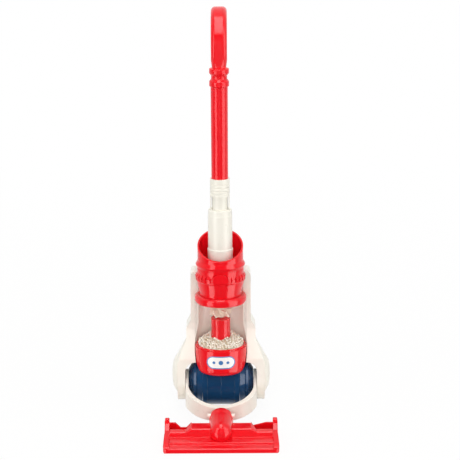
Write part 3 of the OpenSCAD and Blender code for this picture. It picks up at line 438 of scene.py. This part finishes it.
def sticker(name, material, centre, flat, half, lift):
    rows, cols = 14, 26
    points, faces = [], []
    for i in range(rows + 1):
        turn = math.pi * (i / rows - 0.5)
        high, wide = half * math.sin(turn), flat + half * math.cos(turn)
        for j in range(cols + 1):
            start = on_body(centre + wide * (2 * j / cols - 1), WELL_IN_FRONT, STICKER_UP + high)
            spot, normal, _, _ = base_tree.ray_cast(start, BODY_BACK)
            points.append(spot + normal * lift * MM)
    across = cols + 1
    for i in range(rows):
        for j in range(cols):
            first = i * across + j
            faces.append([first, first + 1, first + across + 1, first + across])
    mesh = bpy.data.meshes.new(name)
    mesh.from_pydata(points, [], faces)
    mesh.shade_smooth()
    return add_piece(name, mesh, material, "main_body")


sticker("sticker_edge", VINYL_BLUE, 0, 12.0, 10.5, 0.06)
sticker("sticker_field", VINYL_WHITE, 0, 12.0, 8.9, 0.10)
for i, (centre, half) in enumerate(((-11, 2.3), (0, 3.6), (11, 2.3))):
    sticker(f"sticker_spot_{i}", VINYL_BLUE, centre, 0.0, half, 0.14)

# %% [markdown]
# ## Cover of the neck
# In the photo the neck runs forward from the hinge as one fat round form and ends in a ball-shaped nose,
# which shows as two tall reflections with a spot above them. The CAD neck slopes down to a smaller nose.
# A capsule is added in front of the hinge, both are joined by a voxel remesh, and the outside is smoothed.
# The slot and the bores of the hinge stay as they are in the CAD neck.

# %% Fuller neck
REAR_Y, REAR_Z, REAR_R = 25.0, 23.2, 17.9
NOSE_Y, NOSE_Z, NOSE_R = -1.2, 22.6, 17.5
TURNS, STEPS = 96, 12
NOSE_RINGS, NOSE_STEP = 17, 5
VOXEL = 0.6 * MM
profile = [(REAR_Y + (NOSE_Y - REAR_Y) * i / STEPS, REAR_Z + (NOSE_Z - REAR_Z) * i / STEPS,
            REAR_R + (NOSE_R - REAR_R) * i / STEPS) for i in range(STEPS + 1)]
profile += [(NOSE_Y - NOSE_R * math.sin(t), NOSE_Z, NOSE_R * math.cos(t)) for t in
            (math.radians(NOSE_STEP * i) for i in range(1, NOSE_RINGS + 1))]
cover = bmesh.new()
cover.from_mesh(nodes["neck_hood"].data)
rings = []
for y, z, r in profile:
    turns = (i * math.tau / TURNS for i in range(TURNS))
    rings.append([cover.verts.new(Vector((r * math.cos(t), y, z + r * math.sin(t))) * MM) for t in turns])
for a, b in zip(rings, rings[1:]):
    for i in range(TURNS):
        j = (i + 1) % TURNS
        cover.faces.new((a[i], b[i], b[j], a[j]))
cover.faces.new(rings[0])
cover.faces.new(rings[-1][::-1])
rough_mesh = bpy.data.meshes.new("neck_rough")
cover.to_mesh(rough_mesh)
cover.free()
rough = bpy.data.objects.new("neck_rough", rough_mesh)
scene.collection.objects.link(rough)
remesh = rough.modifiers.new("join", "REMESH")
remesh.mode = "VOXEL"
remesh.voxel_size = VOXEL
joined = rough.evaluated_get(bpy.context.evaluated_depsgraph_get())
neck_mesh = bpy.data.meshes.new_from_object(joined)
bpy.data.objects.remove(rough)
print("joined faces:", len(neck_mesh.polygons))

# %% Smooth the neck's outside
hinge = next(Vector(j["pos_m"]) for j in frame["joints"] if j["name"] == "head_tilt")
FRONT_OF, ABOVE, BESIDE, BORE_CLEAR = 27 * MM, 37 * MM, 17 * MM, 6.5 * MM
PASSES = 40
skin = bmesh.new()
skin.from_mesh(neck_mesh)
outside = [v for v in skin.verts if v.co.y < FRONT_OF or v.co.z > ABOVE or
           (abs(v.co.x) > BESIDE and (v.co.yz - hinge.yz).length > BORE_CLEAR)]
for _ in range(PASSES):
    bmesh.ops.smooth_vert(skin, verts=outside, factor=0.5,
                          use_axis_x=True, use_axis_y=True, use_axis_z=True)
skin.to_mesh(neck_mesh)
skin.free()
neck_mesh.name = "neck_cover"
neck_mesh.shade_smooth()
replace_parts(add_piece("neck_cover", neck_mesh, RED_ROUND, "head"), "neck_hood")
print("neck faces:", len(neck_mesh.polygons))

# %% [markdown]
# ## Ribs on the head's rear rail
# The two low ends of the head's rear rail carry fine upright ribs, about 1.6 mm apart. Each is a small
# three-sided bar that grows out of the rail's front face, and they stop just under the rail's top edge.

# %% Rail ribs
RAIL_FRONT, RIB_LOW, RIB_STEP = 28.4, 8.0, 1.6
RAIL_TOP, RAMP_LOW, RAMP_FROM, RAMP_TO = 20.5, 15.0, 50.5, 70.6
RIB_SECTION = ((-0.45, 0.05), (0.0, -0.5), (0.45, 0.05))
UNDER_TOP = 0.8
LEFT_FROM, LEFT_RIBS = -79.8, 6
RIGHT_FROM, RIGHT_RIBS = 54.2, 17


def rail_top(across):
    if across < 0 or across > RAMP_TO:
        return RAIL_TOP
    return RAMP_LOW + (RAIL_TOP - RAMP_LOW) * (across - RAMP_FROM) / (RAMP_TO - RAMP_FROM)


points, faces = [], []
rib_places = [LEFT_FROM + RIB_STEP * i for i in range(LEFT_RIBS)]
rib_places += [RIGHT_FROM + RIB_STEP * i for i in range(RIGHT_RIBS)]
for across in rib_places:
    first = len(points)
    for high in (RIB_LOW, rail_top(across) - UNDER_TOP):
        points += [Vector((across + dx, RAIL_FRONT + dy, high)) * MM for dx, dy in RIB_SECTION]
    for i in range(3):
        j = (i + 1) % 3
        faces.append([first + i, first + j, first + 3 + j, first + 3 + i])
    faces += [[first + 2, first + 1, first], [first + 3, first + 4, first + 5]]
rib_mesh = bpy.data.meshes.new("rail_ribs")
rib_mesh.from_pydata(points, [], faces)
add_piece("rail_ribs", rib_mesh, RED, "head")
print("ribs:", len(rib_places))

# %% [markdown]
# ## Cross slots of the screws
# The screws at the back and under the sole are driven with a cross-head driver. The recess is not cut; a thin
# dark cross on each head is painted shade for it, found by casting a ray at the head along its axis.

# %% Screw crosses
# A dark grey steel: painted shade standing in for the cross recess of each screw.
RECESS_SHADE, tree = blank("painted_shade_screw_recess")
place = add(tree, "ShaderNodeTexCoord", {}).outputs["Object"]
recess_gloss_noise = add(tree, "ShaderNodeTexNoise", {"Vector": place, "Scale": per_metre(1), "Detail": 2.0})
gloss = add(tree, "ShaderNodeMapRange", {"Value": recess_gloss_noise.outputs["Fac"], "To Min": 0.5, "To Max": 0.7})
body = add(tree, "ShaderNodeBsdfPrincipled", {
    "Base Color": linear("#3A3A3C"), "Metallic": 0.8, "Roughness": gloss.outputs["Result"]})
add(tree, "ShaderNodeOutputMaterial", {"Surface": body.outputs["BSDF"]})
SCREW_ACROSS, SCREW_UPS, COVER_SCREW_UP = 40, (74, 163), 89.5
SOLE_ACROSS, SOLE_DEEPS = 60.45, (-9, 22)
BEHIND_BODY, UNDER_SOLE = 90, -20


def cross(name, node, start, direction, body):
    spot = tree_of(node).ray_cast(start, direction)[0]
    side = Vector((1, 0, 0))
    along = direction.cross(side).normalized()
    arm, half = 1.7, 0.38
    outline, corner = [], [(arm, half), (half, half), (half, arm)]
    for quarter in range(4):
        outline += corner
        corner = [(-y, x) for x, y in corner]
    points = [spot + (side * x + along * y - direction * lift) * MM
              for lift in (0.05, -0.02) for x, y in outline]
    count = len(outline)
    faces = [list(range(count))]
    for i in range(count):
        j = (i + 1) % count
        faces.append([i, i + count, j + count, j])
    mesh = bpy.data.meshes.new(name)
    mesh.from_pydata(points, [], faces)
    return add_piece(name, mesh, RECESS_SHADE, body)


body_places = [(side * SCREW_ACROSS, high) for high in SCREW_UPS for side in (-1, 1)]
for i, (across, high) in enumerate(body_places):
    start = on_body(across, BEHIND_BODY, high)
    cross(f"screw_recess_shade_body_{i}", "body_screws", start, -BODY_BACK, "main_body")
start = on_body(0, BEHIND_BODY, COVER_SCREW_UP)
cross("screw_recess_shade_cover", "cover_screw", start, -BODY_BACK, "main_body")
sole_places = [(side * SOLE_ACROSS, deep) for deep in SOLE_DEEPS for side in (-1, 1)]
for i, (across, deep) in enumerate(sole_places):
    start = Vector((across, deep, UNDER_SOLE)) * MM
    cross(f"screw_recess_shade_sole_{i}", "sole_screws", start, Vector((0, 0, 1)), "head")

# %% [markdown]
# ## Floor and light
# The picture has a white sheet under and behind the toy, and two tall light panels left and right, which
# draw the pairs of long streaks on the round pieces. So the shine and the light are kept apart: glowing
# sheets left, right and above are seen only in reflections, and fill lamps all round give the even light
# and are not seen in reflections. The floor is a pale sheet that is white by itself to the camera, with some
# plain diffuse left in it so that it keeps the toy's shadow. Its white would wash out the undersides of the
# red pieces, so reflections look past it to the lower part of the panels and to the world. The world is white
# behind the toy and dim in front of it, as a studio is, and adds a little even light.

# %% Floor
floor_mesh = bpy.data.meshes.new("floor")
SIDE, FRONT, BEHIND = 7.0, -0.5, 9.0
SHADE_NEAR, SHADE_FAR, NEAR_WHITE = 0.3, 1.2, 0.92
corners = [(-SIDE, FRONT, 0), (SIDE, FRONT, 0), (SIDE, BEHIND, 0), (-SIDE, BEHIND, 0)]
floor_mesh.from_pydata(corners, [], [(0, 1, 2, 3)])
floor = bpy.data.objects.new("floor", floor_mesh)
scene.collection.objects.link(floor)
floor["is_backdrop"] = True
PAPER, tree = blank("paper_white_backdrop")
path = add(tree, "ShaderNodeLightPath", {})
seen = add(tree, "ShaderNodeMath", {0: path.outputs["Is Camera Ray"], 1: path.outputs["Is Glossy Ray"]},
           operation="MAXIMUM")
seen = add(tree, "ShaderNodeMath", {0: seen.outputs[0], 1: path.outputs["Is Transmission Ray"]},
           operation="MAXIMUM")
place = add(tree, "ShaderNodeTexCoord", {}).outputs["Object"]
away = add(tree, "ShaderNodeVectorMath", {0: place}, operation="LENGTH")
near = add(tree, "ShaderNodeMapRange", {
    "Value": away.outputs["Value"], "From Min": SHADE_NEAR, "From Max": SHADE_FAR,
    "To Min": NEAR_WHITE, "To Max": 1.0})
share = add(tree, "ShaderNodeMath", {0: seen.outputs[0], 1: near.outputs["Result"]}, operation="MULTIPLY")
matt = add(tree, "ShaderNodeBsdfDiffuse", {"Color": linear("#F4F4F2")})
glow = add(tree, "ShaderNodeEmission", {"Color": linear("#FFFFFF"), "Strength": 1.0})
both = add(tree, "ShaderNodeMixShader", {0: share.outputs[0], 1: matt.outputs[0], 2: glow.outputs[0]})
add(tree, "ShaderNodeOutputMaterial", {"Surface": both.outputs[0]})
floor_mesh.materials.append(PAPER)
floor.visible_glossy = False
floor.visible_shadow = False
print("floor:", SIDE * 2, "m wide")

# %% Lamps
TOY_MIDDLE = 0.12


def aim(thing, place, look_up):
    scene.collection.objects.link(thing)
    thing.location = place
    toward = Vector((0, TOY_MIDDLE, look_up)) - thing.location
    thing.rotation_euler = toward.to_track_quat("-Z", "Y").to_euler()


def soft_box(name, place, look_up, wide, tall, power):
    lamp = bpy.data.lights.new(name, "AREA")
    lamp.shape = "RECTANGLE"
    lamp.size = wide
    lamp.size_y = tall
    lamp.energy = power
    box = bpy.data.objects.new(name, lamp)
    aim(box, place, look_up)
    box.visible_glossy = False


def glow_panel(name, place, look_up, wide, tall, strength):
    material, tree = blank(f"diffuser_cloth_{name}")
    glow = add(tree, "ShaderNodeEmission", {"Color": linear("#FFFFFF"), "Strength": strength})
    add(tree, "ShaderNodeOutputMaterial", {"Surface": glow.outputs[0]})
    material.cycles.emission_sampling = "NONE"
    x, y = wide / 2, tall / 2
    mesh = bpy.data.meshes.new(name)
    mesh.from_pydata([(-x, -y, 0), (-x, y, 0), (x, y, 0), (x, -y, 0)], [], [(0, 1, 2, 3)])
    mesh.materials.append(material)
    panel = bpy.data.objects.new(name, mesh)
    aim(panel, place, look_up)
    panel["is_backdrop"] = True
    panel.visible_camera = False
    panel.visible_diffuse = False
    panel.visible_transmission = False
    panel.visible_shadow = False


glow_panel("panel_left", (-1.27, -1.05, 0.9), 0.9, 0.85, 4.4, 4.0)
glow_panel("panel_right", (1.45, -0.78, 0.9), 0.9, 1.3, 4.4, 3.9)
glow_panel("top_panel", (0, -0.2, 2.4), 0.3, 0.9, 2.2, 6.0)
for side, name in ((-1, "left"), (1, "right")):
    soft_box(f"side_fill_{name}", (side * 1.7, -0.2, 1.2), 0.4, 1.4, 2.0, 13)
soft_box("top_fill", (0, -0.25, 2.4), 0.3, 1.2, 1.2, 17.5)
for side, name, power in ((-1, "front", 24.5), (1, "back", 23)):
    soft_box(f"{name}_fill", (0, 0.1 + side * 2.3, 1.0), 0.3, 1.6, 1.6, power)

# %% World: a white backdrop behind, a dim room in front
DIM_ROOM, EVEN_LIGHT = 0.05, 0.27
world = bpy.data.worlds.new("studio")
world.use_nodes = True
tree = world.node_tree
tree.nodes.clear()
path = add(tree, "ShaderNodeLightPath", {})
place = add(tree, "ShaderNodeTexCoord", {}).outputs["Generated"]
toward = add(tree, "ShaderNodeSeparateXYZ", {"Vector": place})
mirror = add(tree, "ShaderNodeMapRange", {
    "Value": toward.outputs["Y"], "From Min": -0.3, "From Max": 0.3, "To Min": DIM_ROOM, "To Max": 1.0})
white = add(tree, "ShaderNodeMath", {
    0: path.outputs["Is Camera Ray"], 1: path.outputs["Is Transmission Ray"]}, operation="MAXIMUM")
shown = add(tree, "ShaderNodeMath", {0: path.outputs["Is Glossy Ray"], 1: mirror.outputs["Result"]},
            operation="MULTIPLY")
shown = add(tree, "ShaderNodeMath", {0: shown.outputs[0], 1: white.outputs[0]}, operation="MAXIMUM")
fill = add(tree, "ShaderNodeMath", {0: path.outputs["Is Diffuse Ray"], 1: EVEN_LIGHT}, operation="MULTIPLY")
level = add(tree, "ShaderNodeMath", {0: shown.outputs[0], 1: fill.outputs[0]}, operation="MAXIMUM")
sky = add(tree, "ShaderNodeBackground", {"Color": linear("#FFFFFF"), "Strength": level.outputs[0]})
add(tree, "ShaderNodeOutputWorld", {"Surface": sky.outputs[0]})
scene.world = world
scene.view_settings.view_transform = "Standard"
print("view transform:", scene.view_settings.view_transform)

# %% [markdown]
# ## Size
# The dressed toy must stay as large as the CAD model, so its size is printed at the end.

# %% Size of the dressed toy
low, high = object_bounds()
print("visual size in mm:", [round((high[i] - low[i]) / MM, 1) for i in range(3)])
